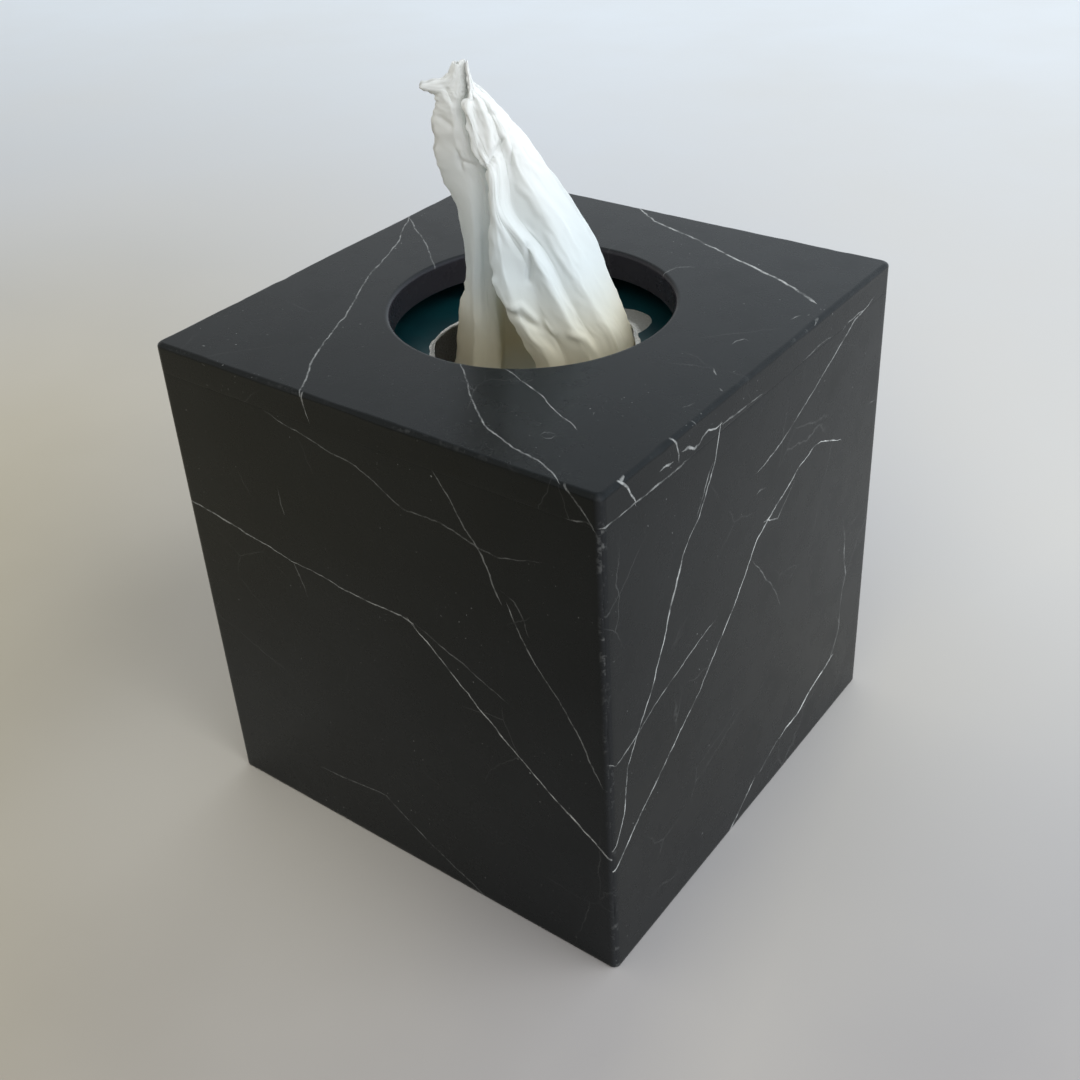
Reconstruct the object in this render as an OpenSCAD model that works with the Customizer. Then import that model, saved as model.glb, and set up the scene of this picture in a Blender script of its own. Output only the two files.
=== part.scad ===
// Square stone tissue box: a five-slab cover that stands over a card carton of tissues

/* [Carton] */
// Width and depth of the folded carton
carton_w = 110; // [95:1:130]
// Height of the carton
carton_h = 127; // [100:1:150]
// Thickness of the card
card_t = 0.5; // [0.4:0.05:0.8]
// Outside radius of the upright folds
fold_r = 1; // [0.9:0.1:2]
// Diameter of the torn-out mouth
mouth_d = 52; // [44:1:64]
// Card left round the mouth before the inner flaps start
mouth_margin = 6; // [3:1:12]
// Length of the short dust flaps
dust_flap_l = 40; // [25:1:45]
// Length of the inner long flaps
inner_flap_l = 72; // [50:1:85]
// Room between a flap's side and the wall beside it
flap_room = 1; // [0.5:0.1:3]
// Width of the glued side tab
tab_w = 14; // [8:1:20]

/* [Stone cover] */
// Thickness of the stone slabs
slab_t = 8; // [6:0.5:12]
// Room between the carton and the stone on each side
side_room = 3.5; // [1:0.5:8]
// Room between the carton and the top slab
head_room = 5; // [2:0.5:15]
// Diameter of the round hole in the top slab
hole_d = 72; // [66:1:90]
// Radius of the eased rim of the hole
rim_r = 1.2; // [0.6:0.1:2]
// Radius of the eased upright corners
corner_r = 1.8; // [0.8:0.1:3]
// Radius of the eased top edges
edge_r = 1.2; // [0.6:0.1:2.5]

/* [Tissue stack] */
// Room between the stack and the carton walls
stack_room = 2.5; // [1:0.5:6]
// Depth of the stack's top below the carton's top
stack_drop = 12; // [8:1:60]
// Gap between the two hanging legs of the bent stack
leg_gap = 8; // [4:1:30]
// Radius of the bent shoulders
shoulder_r = 38; // [15:1:42]

/* [Pulled tissue] */
// Height of the tip above the stone
tip_rise = 60; // [50:1:80]
// Height of the neck above the stone
neck_rise = 36; // [28:1:42]
// Height of the waist above the stone
waist_rise = 16; // [10:1:22]
// Room between the gathered foot and the mouth
foot_room = 1.8; // [1:0.1:4]
// Width at the waist
waist_w = 32; // [28:1:38]
// Width at the neck
neck_w = 25; // [22:1:30]
// Width of the pinched tip
tip_w = 8; // [7:0.5:12]
// Depth of the front folds at the waist
waist_d = 13; // [11:0.5:16]
// Depth of the front folds at the neck
neck_d = 8.5; // [7:0.5:11]
// Depth of the pinched tip's front half
tip_d = 5; // [4:0.5:7]
// Lean of the neck off the hole's axis
neck_lean = 7; // [0:0.5:12]
// Lean of the tip off the hole's axis
tip_lean = 14.5; // [0:0.5:20]
// Drop of the ear below the tip
ear_drop = 5; // [0:0.5:10]
// Depth of the notches in the tip's free edge
tip_notch = 2; // [0:0.5:5]
// Thickness of the two loose plies
sheet_t = 0.5; // [0.4:0.05:0.6]
// Roundness of the folds, from sharp to full
fold_round = 0.4; // [0.2:0.05:0.5]
// Turn of the tissue's broad side from the front
facing = 38; // [0:1:90]
// Clearance between the foot and the stack
foot_clear = 0.3; // [0.2:0.1:1]

/* [Hidden] */
$fn = 96;
eps = 0.01;

// The stone is cut to clear the carton
cover_w = carton_w + 2 * (side_room + slab_t);
side_h = carton_h + head_room;
cover_h = side_h + slab_t;

// The carton's walls and glued layers
carton_in = carton_w - 2 * card_t;
floor_z = 3 * card_t;

// The stack is bent over into two legs
stack_w = carton_in - 2 * stack_room;
stack_top = carton_h - stack_drop;
leg_t = (stack_w - leg_gap) / 2;

// Sections of the gathered tissue: two lines of front folds from the free edge to the sloping side, a line of
// folds across the back, and the upright side with its strip and tucked end. A point is a share of the half
// width and a share of the depth.
FOOT = [[0.01, 0.66], [0.15, 0.74], [0.31, 0.62], [0.53, 0.74],
        [0.66, 0.58], [0.80, 0.53], [0.92, 0.32], [1, 0],
        [0.86, -0.30], [0.60, -0.48], [0.33, -0.34], [0.05, -0.50], [-0.28, -0.36], [-0.56, -0.42],
        [-0.74, 0], [-0.65, 0.29], [-0.50, 0.27], [-0.38, 0.30], [-0.28, 0], [0, -0.16], [0.30, 0]];
WAIST = [[-0.61, 0.86], [-0.43, 1], [-0.09, 0.66], [0.04, 0.94],
         [0.18, 0.63], [0.45, 0.82], [0.74, 0.50], [1, 0],
         [0.82, -0.44], [0.50, -0.80], [0.20, -0.56], [-0.10, -0.82], [-0.40, -0.58], [-0.72, -0.66],
         [-1, 0], [-0.87, 0.46], [-0.71, 0.42], [-0.56, 0.46], [-0.46, 0], [-0.15, -0.26], [0.20, 0]];
NECK = [[-0.30, 0.84], [-0.16, 0.94], [0, 0.76], [0.14, 0.86],
        [0.30, 0.62], [0.50, 0.72], [0.78, 0.44], [1, 0],
        [0.82, -0.44], [0.50, -0.72], [0.20, -0.56], [-0.10, -0.74], [-0.40, -0.56], [-0.74, -0.58],
        [-1, 0], [-0.70, 0.40], [-0.48, 0.36], [-0.28, 0.38], [-0.12, 0.08], [0.15, -0.10], [0.42, 0]];
TIP = [[0.10, 0.94], [0.30, 0.96], [0.50, 0.88], [0.68, 0.78],
       [0.82, 0.62], [0.92, 0.44], [0.98, 0.24], [1, 0],
       [0.90, -0.42], [0.62, -0.74], [0.25, -0.90], [-0.14, -0.90], [-0.52, -0.76], [-0.90, -0.50],
       [-1.9, -0.06], [-0.80, 0.34], [-0.48, 0.40], [-0.16, 0.36], [0.10, 0.22], [0.32, 0.06], [0.44, -0.18]];
EAR = 14;
notch_turn = 80;

// Height, middle, half width, depth and outline of each section, from the mouth up
foot_r = mouth_d / 2 - foot_room;
SECTIONS = [[carton_h, 0, foot_r, foot_r, FOOT],
            [cover_h + waist_rise, 0, waist_w / 2, waist_d, WAIST],
            [cover_h + neck_rise, -neck_lean, neck_w / 2, neck_d, NECK],
            [cover_h + tip_rise, -tip_lean, tip_w / 2, tip_d, TIP]];
rise_round = 0.5;
rise_steps = 5;
turn_steps = 4;

stone = "#2b2c2e";
card = "#0e5a62";
paper = "#f3f3f0";

module rounded_square(w, r) {
    square([w, w - 2 * r], center = true);
    square([w - 2 * r, w], center = true);
    for (x = [-1, 1], y = [-1, 1])
        translate([x, y] * (w / 2 - r))
            circle(r);
}

// Upright outline with its two top corners rounded, standing on the first axis
module round_topped(w, h, r) {
    translate([-w / 2, 0])
        square([w, h - r]);
    translate([r - w / 2, 0])
        square([w - 2 * r, h]);
    for (x = [-1, 1])
        translate([x * (w / 2 - r), h - r])
            circle(r);
}

// Solid with that outline in front view, running from front to back
module round_topped_bar(w, h, r, depth) {
    translate([0, depth / 2, 0])
        rotate([90, 0, 0])
            linear_extrude(depth)
                round_topped(w, h, r);
}

// Slab of one side, mitred at both ends and turned to face the given way
module side_slab(facing_angle) {
    outer = cover_w / 2;
    inner = outer - slab_t;
    color(stone)
        linear_extrude(side_h)
            intersection() {
                rounded_square(cover_w, corner_r);
                rotate(facing_angle)
                    polygon([[-outer, -outer], [outer, -outer], [inner, -inner], [-inner, -inner]]);
            }
}

module hole_cut() {
    hole_r = hole_d / 2;
    translate([0, 0, side_h - eps])
        cylinder(h = slab_t + 2 * eps, r = hole_r);
    translate([0, 0, cover_h - rim_r])
        rotate_extrude()
            difference() {
                translate([hole_r - eps, 0])
                    square([rim_r + eps, rim_r + eps]);
                translate([hole_r + rim_r, 0])
                    circle(rim_r);
            }
}

module top_slab() {
    color(stone)
        difference() {
            intersection() {
                translate([0, 0, side_h])
                    linear_extrude(slab_t)
                        rounded_square(cover_w, corner_r);
                round_topped_bar(cover_w, cover_h, edge_r, cover_w + 2 * eps);
                rotate(90)
                    round_topped_bar(cover_w, cover_h, edge_r, cover_w + 2 * eps);
            }
            hole_cut();
        }
}

module front_slab() {
    side_slab(0);
}

module right_slab() {
    side_slab(90);
}

module back_slab() {
    side_slab(180);
}

module left_slab() {
    side_slab(270);
}

// Flap glued in layer n from the outside, reaching in from the front wall
module flap(n, length) {
    translate([flap_room - carton_in / 2, -carton_in / 2 - eps, n * card_t - eps])
        cube([carton_in - 2 * flap_room, length + eps, card_t + eps]);
}

// One closed end: full outer flap, inner flap from the back, two dust flaps
module closed_end() {
    linear_extrude(card_t)
        rounded_square(carton_w, fold_r);
    rotate(180)
        flap(1, inner_flap_l);
    for (a = [90, 270])
        rotate(a)
            flap(2, dust_flap_l);
}

module carton() {
    color(card)
        difference() {
            union() {
                linear_extrude(carton_h)
                    difference() {
                        rounded_square(carton_w, fold_r);
                        rounded_square(carton_in, fold_r - card_t);
                    }
                translate([-carton_in / 2 - eps, carton_in / 2 - tab_w, eps])
                    cube([card_t + eps, tab_w, carton_h - 2 * eps]);
                closed_end();
                translate([0, 0, carton_h])
                    mirror([0, 0, 1])
                        closed_end();
            }
            translate([0, 0, carton_h - card_t - eps])
                cylinder(h = card_t + 2 * eps, d = mouth_d);
            translate([0, 0, carton_h - floor_z - eps])
                cylinder(h = floor_z - card_t + eps, d = mouth_d + 2 * mouth_margin);
        }
}

module tissue_stack() {
    color(paper)
        translate([0, 0, floor_z])
            difference() {
                round_topped_bar(stack_w, stack_top - floor_z, shoulder_r, stack_w);
                translate([0, 0, -eps])
                    round_topped_bar(leg_gap, stack_top - floor_z - leg_t + eps, leg_gap / 2 - eps,
                                     stack_w + 2 * eps);
            }
}

// Height of the stack's arch at a distance from its middle
function arch_z(x) =
    let (past = max(0, abs(x) - (stack_w / 2 - shoulder_r)))
    stack_top - shoulder_r + sqrt(shoulder_r * shoulder_r - past * past);

// Point at a place along a list of points, on a curve through all of them
function on_curve(points, place, roundness) =
    let (
        last = len(points) - 1,
        i = min(floor(place), last - 1),
        t = place - i,
        p = points[i],
        q = points[i + 1],
        p_way = roundness * (q - points[max(0, i - 1)]),
        q_way = roundness * (points[min(last, i + 2)] - p),
        s = t * t * (3 - 2 * t)
    )
    p * (1 - s) + q * s + p_way * t * (1 - t) * (1 - t) - q_way * t * t * (1 - t);

// Depth of the free edge below the tip at fold k
function edge_drop(k) = k == EAR ? ear_drop : tip_notch * (1 + sin(notch_turn * k)) / 2;

// Fold k from the mouth to the tip: across the tissue's broad side, towards its front, and up
function fold_line(k) = [
    for (n = [0 : len(SECTIONS) - 1])
        let (s = SECTIONS[n], drop = n == len(SECTIONS) - 1 ? edge_drop(k) : 0)
        [s[1] + s[2] * s[4][k][0], s[3] * s[4][k][1], s[0] - drop]
];

// Point i of a row moved out from the row, level with it
function moved_out(row, i, d) =
    let (
        way = row[min(len(row) - 1, i + 1)] - row[max(0, i - 1)],
        out = [-way[1], way[0], 0] / norm([way[0], way[1]])
    )
    row[i] + d * out;

// Point of the broad side turned to face its way
function turned(p) = [
    p[0] * cos(facing) + p[1] * sin(facing),
    p[0] * sin(facing) - p[1] * cos(facing),
    p[2]
];

// Closed thin sheet: a loft through the sections, with a foot that hangs from the mouth to the stack
module pulled_tissue() {
    folds = [for (k = [0 : len(FOOT) - 1]) fold_line(k)];
    climb = (len(SECTIONS) - 1) * rise_steps;
    around = (len(folds) - 1) * turn_steps;
    rows = [
        for (j = [0 : climb])
            let (level = [for (f = folds) on_curve(f, j / rise_steps, rise_round)])
            [for (i = [0 : around]) on_curve(level, i / turn_steps, fold_round)]
    ];
    columns = around + 1;
    side = columns * (climb + 2);
    points = [
        for (d = [sheet_t / 2, -sheet_t / 2], j = [-1 : climb], i = [0 : around])
            let (p = turned(moved_out(rows[max(0, j)], i, d)))
            j < 0 ? [p[0], p[1], arch_z(p[0]) + foot_clear] : p
    ];
    outer = [
        for (j = [0 : climb], i = [0 : around - 1])
            let (p = j * columns + i)
            each [[p, p + columns, p + 1], [p + 1, p + columns, p + columns + 1]]
    ];
    inner = [for (f = outer) [f[0] + side, f[2] + side, f[1] + side]];
    ends = [
        for (e = [0, 1], i = [0 : around - 1])
            let (p = i + e * (climb + 1) * columns, q = e == 0 ? p + 1 : p, r = e == 0 ? p : p + 1)
            each [[r, q, r + side], [q, q + side, r + side]]
    ];
    edges = [
        for (e = [0, 1], j = [0 : climb])
            let (p = j * columns + e * around, q = e == 0 ? p : p + columns, r = e == 0 ? p + columns : p)
            each [[r, q, r + side], [q, q + side, r + side]]
    ];
    color(paper)
        polyhedron(points, concat(outer, inner, ends, edges));
}

top_slab();
front_slab();
right_slab();
back_slab();
left_slab();
carton();
tissue_stack();
pulled_tissue();
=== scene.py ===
"""Square tissue box of black honed marble, with its card carton and a pulled tissue.

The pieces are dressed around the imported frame. Lengths are in mm until a mesh is made.
"""
import math

import bmesh
import bpy
import numpy as np
from mathutils import Matrix, Vector, noise


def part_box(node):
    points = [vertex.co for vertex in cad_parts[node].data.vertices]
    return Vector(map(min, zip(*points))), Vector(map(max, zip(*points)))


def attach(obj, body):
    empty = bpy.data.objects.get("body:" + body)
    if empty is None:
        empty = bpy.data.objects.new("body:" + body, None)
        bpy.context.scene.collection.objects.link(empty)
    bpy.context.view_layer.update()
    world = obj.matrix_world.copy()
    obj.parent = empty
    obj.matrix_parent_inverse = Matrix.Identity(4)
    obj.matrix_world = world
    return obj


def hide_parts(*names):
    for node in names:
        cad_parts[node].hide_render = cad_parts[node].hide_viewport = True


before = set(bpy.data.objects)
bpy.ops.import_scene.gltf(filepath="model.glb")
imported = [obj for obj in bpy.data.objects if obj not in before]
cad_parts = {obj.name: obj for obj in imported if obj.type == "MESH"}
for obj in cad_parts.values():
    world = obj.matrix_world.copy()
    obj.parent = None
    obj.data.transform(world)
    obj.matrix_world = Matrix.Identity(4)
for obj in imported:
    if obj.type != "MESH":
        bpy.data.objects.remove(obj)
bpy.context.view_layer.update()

MM = 0.001

# Sizes of the solids: read from the frame where a node's box gives them
TOP_LOW, TOP_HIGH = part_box("top_slab")
CARTON_LOW, CARTON_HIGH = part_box("carton")
STACK_LOW, STACK_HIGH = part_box("tissue_stack")
COVER_W = (TOP_HIGH.x - TOP_LOW.x) / MM
HALF = COVER_W / 2
COVER_H = TOP_HIGH.z / MM
SIDE_H = TOP_LOW.z / MM
SLAB_T = COVER_H - SIDE_H
HOLE_R = 36
RIM_R = 1.2
CORNER_R = 1.8
EDGE_R = 1.2
CARTON_W = (CARTON_HIGH.x - CARTON_LOW.x) / MM
CARTON_H = CARTON_HIGH.z / MM
MOUTH_R = 26
CARD_T = 0.5
STACK_W = (STACK_HIGH.x - STACK_LOW.x) / MM
STACK_FOOT = STACK_LOW.z / MM
STACK_TOP = STACK_HIGH.z / MM
SHOULDER_R = 38
LEG_GAP = 8

# The photograph's camera: a square frame, its focal length and middle in pixels, its place in mm
# and its azimuth, pitch and roll in degrees
FRAME_PX = 1080
FOCAL_PX = 1399.8
MIDDLE_PX = (540, 480)
CAMERA_MM = Vector((199.86, -253.56, 289.29))
CAMERA_TURN = (-38.377, -32.134, -3.484)
SENSOR_MM = 36
CLIP_START = 0.01


def camera_axes():
    """Right, up and forward of the camera."""
    azimuth, pitch, roll = map(math.radians, CAMERA_TURN)
    east, north = math.sin(azimuth) * math.cos(pitch), math.cos(azimuth) * math.cos(pitch)
    forward = Vector((east, north, math.sin(pitch)))
    level = forward.cross(Vector((0, 0, 1))).normalized()
    lift = level.cross(forward)
    right = level * math.cos(roll) + lift * math.sin(roll)
    return right, right.cross(forward), forward


RIGHT, UP, FORWARD = camera_axes()
# The tissue is read in an upright plane that faces the camera: ACROSS runs to the right in it,
# TOWARDS leaves it
TOWARDS = Vector((CAMERA_MM.x, CAMERA_MM.y, 0)).normalized()
ACROSS = Vector((-TOWARDS.y, TOWARDS.x, 0))


def ray(px, py):
    """Direction from the camera through a pixel of the photograph."""
    aside = RIGHT * (px - MIDDLE_PX[0]) - UP * (py - MIDDLE_PX[1])
    return (aside + FORWARD * FOCAL_PX).normalized()


def pick(px, py, normal, reach):
    """The point where that ray meets the plane at a reach along its normal."""
    way = ray(px, py)
    return CAMERA_MM + way * ((reach - CAMERA_MM.dot(normal)) / way.dot(normal))


def placed(name, data):
    """A new object in the scene."""
    made = bpy.data.objects.new(name, data)
    bpy.context.scene.collection.objects.link(made)
    return made


def make_camera():
    data = bpy.data.cameras.new("photo_camera")
    data.sensor_width = SENSOR_MM
    data.lens = FOCAL_PX / FRAME_PX * SENSOR_MM
    data.shift_x = (FRAME_PX / 2 - MIDDLE_PX[0]) / FRAME_PX
    data.shift_y = (MIDDLE_PX[1] - FRAME_PX / 2) / FRAME_PX
    data.clip_start = CLIP_START
    camera = placed("photo_camera", data)
    axes = Matrix((RIGHT, UP, -FORWARD)).transposed()
    camera.matrix_world = Matrix.Translation(CAMERA_MM * MM) @ axes.to_4x4()
    bpy.context.scene.camera = camera


# Mesh helpers

MERGE_M = 1e-7


def mesh_object(name, points, faces, kinds=None, sharp=32):
    """An object from points in mm and faces, smooth except along edges sharper than an angle."""
    mesh = bpy.data.meshes.new(name)
    mesh.from_pydata([tuple(c * MM for c in p) for p in points], [], faces)
    if kinds is not None:
        mesh.polygons.foreach_set("material_index", kinds)
    edit = bmesh.new()
    edit.from_mesh(mesh)
    bmesh.ops.remove_doubles(edit, verts=edit.verts, dist=MERGE_M)
    bmesh.ops.recalc_face_normals(edit, faces=edit.faces)
    edit.to_mesh(mesh)
    edit.free()
    mesh.shade_smooth()
    mesh.set_sharp_from_angle(angle=math.radians(sharp))
    return placed(name, mesh)


def band_faces(rows, columns, closed_columns=False, closed_rows=False):
    """Quads over a grid of rows by columns, numbered row by row."""
    faces = []
    for r in range(rows if closed_rows else rows - 1):
        for c in range(columns if closed_columns else columns - 1):
            here, below, beside = r * columns, (r + 1) % rows * columns, (c + 1) % columns
            faces.append((here + c, here + beside, below + beside, below + c))
    return faces


def between(start, end, steps):
    """Values from start to end in equal steps, without the start."""
    return [start + (end - start) * i / steps for i in range(1, steps + 1)]


def wave(x, y, z, size, seed=0):
    """Smooth noise from about -1 to 1 with features of a size in mm."""
    return noise.noise(Vector((x / size + seed, y / size - seed, z / size + 2 * seed)))


# Chips of an edge: size in mm, added to the seed, noise from which it chips, depth
CHIPS = [(5, 0, 0.28, 2), (1.7, 7, 0.45, 1.2)]


def chip(x, y, z, seed):
    """How deep the edge is chipped at a point: mostly nothing, here and there up to about 1."""
    return sum(max(0, wave(x, y, z, size, seed + more) - level) * depth
               for size, more, level, depth in CHIPS)


# Stone slabs

WALL_WAVE = 0.03
WAVE_SIZE = 38
SEAM_EASE = 0.02
FOOT_EASE = 0.3
UNDER_EASE = 0.3
CHIP_DEPTH = 0.2
CHIP_SPREAD = 2.5
EDGE_CHIP = 0.35
MITRE_GROOVE = 0.06
MITRE_NEAR = 0.9
TIGHT = 0.15
STONE_SHARP = 40
# Steps of the meshes: round a corner, along a face, along its inside, up a wall, all round
CORNER_STEPS, FACE_STEPS, INNER_STEPS, WALL_STEPS, TURN_STEPS = 6, 88, 8, 84, 360
EDGE_ROW = 1.2


def slab_section():
    """Plan of the front slab from its left mitre: points with their way out, or None inside."""
    r, inner = CORNER_R, HALF - SLAB_T
    corner = []
    for turn in [0, *between(0, 45, CORNER_STEPS)]:
        angle = math.radians(225 + turn)
        out = Vector((math.cos(angle), math.sin(angle)))
        groove = 0 if turn else MITRE_GROOVE
        corner.append((Vector((r - HALF, r - HALF)) + out * (r - groove), out))
    face = [(Vector((x, -HALF)), Vector((0, -1)))
            for x in between(r - HALF, HALF - r, FACE_STEPS)[:-1]]
    flip = Vector((-1, 1))
    other = [(p * flip, out * flip) for p, out in reversed(corner)]
    inside = [inner, *between(inner, -inner, INNER_STEPS)]
    return corner + face + other + [(Vector((x, -inner)), None) for x in inside]


def slab_levels():
    """Heights of the slab's rows with the inset of its outside at each."""
    low, high = 2 * EDGE_ROW, SIDE_H - 2 * EDGE_ROW
    foot = [(0, FOOT_EASE), (0.12, 0.45 * FOOT_EASE), (0.45, 0)]
    seam = [(SIDE_H - 0.3, 0), (SIDE_H - 0.1, 0.35 * SEAM_EASE), (SIDE_H, SEAM_EASE)]
    wall = [EDGE_ROW, low, *between(low, high, WALL_STEPS), SIDE_H - EDGE_ROW]
    return foot + [(z, 0) for z in wall] + seam


def side_stone(name, turns):
    """A mitred side slab: the front one after some quarter turns."""
    section, levels = slab_section(), slab_levels()
    spin = Matrix.Rotation(turns * math.pi / 2, 2)
    seed = 3.1 * turns + 1
    points = []
    for z, ease in levels:
        for p, out in section:
            if out is not None:
                x, y = spin @ p
                inset = ease * (1 + CHIP_SPREAD * chip(x, y, z, seed))
                inset -= WALL_WAVE * wave(x, y, z, WAVE_SIZE, seed)
                if HALF - abs(p.x) < MITRE_NEAR:
                    inset += CHIP_DEPTH * chip(x, y, z, seed + 3)
                p = p - out * inset
            points.append((*(spin @ p), z))
    n = len(section)
    faces = band_faces(len(levels), n, closed_columns=True)
    faces += [tuple(range(n)), tuple(range(len(points) - n, len(points)))]
    return mesh_object(name, points, faces, sharp=STONE_SHARP)


def square_reach(angle, half, r):
    """Distance from the middle to a square with rounded corners, along an angle."""
    c, s = abs(math.cos(angle)), abs(math.sin(angle))
    reach = half / max(c, s)
    if reach * min(c, s) <= half - r:
        return reach
    centre = half - r
    along = (c + s) * centre
    return along + math.sqrt(max(0, along * along - 2 * centre * centre + r * r))


def wall_reach(angle, inset):
    """Distance from the middle to the cover's wall, moved in by an inset."""
    return square_reach(angle, HALF - inset, CORNER_R)


def turned(name, rings, closed, sharp, kinds=None):
    """A piece from (angle, ring) all round, where a ring is points of (reach, height)."""
    points = [(math.cos(a) * d, math.sin(a) * d, z) for a, ring in rings for d, z in ring]
    faces = band_faces(len(rings), len(rings[0][1]), closed, True)
    return mesh_object(name, points, faces, kinds, sharp)


def slab_angles(extra=10, spread=2.2):
    """Angles all round, closer together at the four corners."""
    angles = {round(360 * i / TURN_STEPS, 4) for i in range(TURN_STEPS)}
    for corner in (45, 135, 225, 315):
        angles |= {round(corner + spread * (i / extra - 1), 4) for i in range(2 * extra + 1)}
    return [math.radians(a) for a in sorted(angles)]


def quarter(steps):
    """Angles of a quarter turn in equal steps, without the first."""
    return between(0, math.pi / 2, steps)


def top_stone(name):
    """The top slab: at each angle, a ring from the hole's foot over the top to the underside."""
    low = SIDE_H + UNDER_EASE
    rings = []
    for a in slab_angles():
        far = wall_reach(a, 0)
        px, py = math.cos(a) * far, math.sin(a) * far
        edge = EDGE_R * (1 + 0.28 * wave(px, py, 0, 14, 2) + 0.12 * wave(px, py, 0, 5, 3))
        edge += EDGE_CHIP * chip(px, py, COVER_H, 11)
        rim = RIM_R * (1 + 0.15 * wave(px, py, 9, 40, 4))
        seam = SEAM_EASE * (1 + CHIP_SPREAD * chip(px, py, SIDE_H, 5))
        ring = [(HOLE_R + UNDER_EASE, SIDE_H), (HOLE_R, low)]
        ring += [(HOLE_R, z) for z in between(low, COVER_H - rim, 5)]
        ring += [(HOLE_R + rim * (1 - math.cos(t)), COVER_H - rim * (1 - math.sin(t)))
                 for t in quarter(6)]
        start = HOLE_R + rim
        end = square_reach(a, HALF - edge, max(0.3, CORNER_R - edge * 0.6))
        flat = [start + TIGHT, *between(start, end, 18)[:-1], end - TIGHT, end]
        ring += [(d, COVER_H) for d in flat]
        ring += [(wall_reach(a, edge * (1 - math.sin(t))), COVER_H - edge * (1 - math.cos(t)))
                 for t in quarter(7)]
        high = COVER_H - edge
        ring += [(wall_reach(a, -WALL_WAVE * wave(px, py, z, WAVE_SIZE, 6)), z)
                 for z in [high - TIGHT, *between(high, low, 5)]]
        ring += [(wall_reach(a, 0.35 * seam), SIDE_H + 0.1), (wall_reach(a, seam), SIDE_H)]
        ring.append((square_reach(a, HALF - SLAB_T, 0.2), SIDE_H))
        rings.append((a, ring))
    return turned(name, rings, True, STONE_SHARP)


# Materials


class Tree:
    """Short calls for building the nodes of one material, or of the world."""

    def __init__(self, name, owner=None):
        self.owner = owner or bpy.data.materials.new(name)
        self.owner.use_nodes = True
        self.nodes = self.owner.node_tree.nodes
        self.links = self.owner.node_tree.links
        self.shader = self.nodes.get("Principled BSDF") or self.nodes["Background"]

    def node(self, kind, inputs, **settings):
        made = self.nodes.new("ShaderNode" + kind)
        for key, value in settings.items():
            setattr(made, key, value)
        for key, value in inputs.items():
            self.put(made.inputs[key], value)
        return made

    def put(self, socket, value):
        if isinstance(value, bpy.types.NodeSocket):
            self.links.new(value, socket)
        else:
            socket.default_value = value

    def set(self, **inputs):
        """Inputs of the shader, with _ for a space in their names."""
        for key, value in inputs.items():
            self.put(self.shader.inputs[key.replace("_", " ")], value)

    def vector(self, operation, *inputs, out=0):
        made = self.node("VectorMath", dict(enumerate(inputs)), operation=operation)
        return made.outputs[out]

    def place(self):
        """Object coordinates in millimetres."""
        where = self.node("TexCoord", {}).outputs["Object"]
        return self.vector("MULTIPLY", where, (1 / MM,) * 3)

    def axes(self, place):
        return self.node("SeparateXYZ", {0: place}).outputs

    def from_axis(self, axes):
        """Distance from the upright axis through the middle."""
        return self.math("SQRT", self.math("ADD", *(self.math("POWER", a, 2) for a in axes[:2])))

    def math(self, operation, a, b=0):
        return self.node("Math", {0: a, 1: b}, operation=operation).outputs[0]

    def times(self, a, b):
        return self.math("MULTIPLY", a, b)

    def largest(self, first, *others):
        for other in others:
            first = self.math("MAXIMUM", first, other)
        return first

    def dot(self, a, way):
        return self.vector("DOT_PRODUCT", a, tuple(way), out="Value")

    def noise(self, place, size, detail=2, rough=0.5, out=0):
        inputs = {"Vector": place, "Scale": 1 / size, "Detail": detail, "Roughness": rough}
        return self.node("TexNoise", inputs).outputs[out]

    def spread(self, value, low, high, to_low=0, to_high=1, smooth=False, clamp=True):
        kind = "SMOOTHSTEP" if smooth else "LINEAR"
        inputs = {0: value, 1: low, 2: high, 3: to_low, 4: to_high}
        return self.node("MapRange", inputs, interpolation_type=kind, clamp=clamp).outputs[0]

    def clouds(self, place, size, low, high, to_low=0, to_high=1, detail=2, rough=0.5):
        """Noise of a size, spread from one range to another."""
        return self.spread(self.noise(place, size, detail, rough), low, high, to_low, to_high)

    def mix(self, share, a, b, blend="MIX"):
        inputs = {0: share, 6: a, 7: b}
        return self.node("Mix", inputs, data_type="RGBA", blend_type=blend).outputs[2]

    def layers(self, shade, *layers):
        """A first colour with others laid over it in turn, each by its share."""
        for share, tone in layers:
            shade = self.mix(share, shade, tone)
        return shade

    def curve(self, value, points):
        """A drawn curve through points in the unit square, straight between them."""
        made = self.node("FloatCurve", {"Value": value})
        line = made.mapping.curves[0]
        line.points[0].location, line.points[1].location = points[0], points[-1]
        for p in points[1:-1]:
            line.points.new(*p)
        for p in line.points:
            p.handle_type = "VECTOR"
        made.mapping.extend = "HORIZONTAL"
        made.mapping.update()
        return made.outputs[0]

    def bump(self, height, strength, distance_mm):
        inputs = {"Strength": strength, "Distance": distance_mm * MM, "Height": height}
        self.set(Normal=self.node("Bump", inputs).outputs[0])


def colour(r, g, b):
    """A colour from its 0 to 255 screen values."""
    shares = (v / 255 for v in (r, g, b))
    return *(((v + 0.055) / 1.055) ** 2.4 if v > 10 / 255 else v / 12.92 for v in shares), 1


# Veins of the stone. A vein is (strength, points), and a point is x, y and half width in mm.
# On the faces that the photograph shows, x and y are its pixels.

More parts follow.
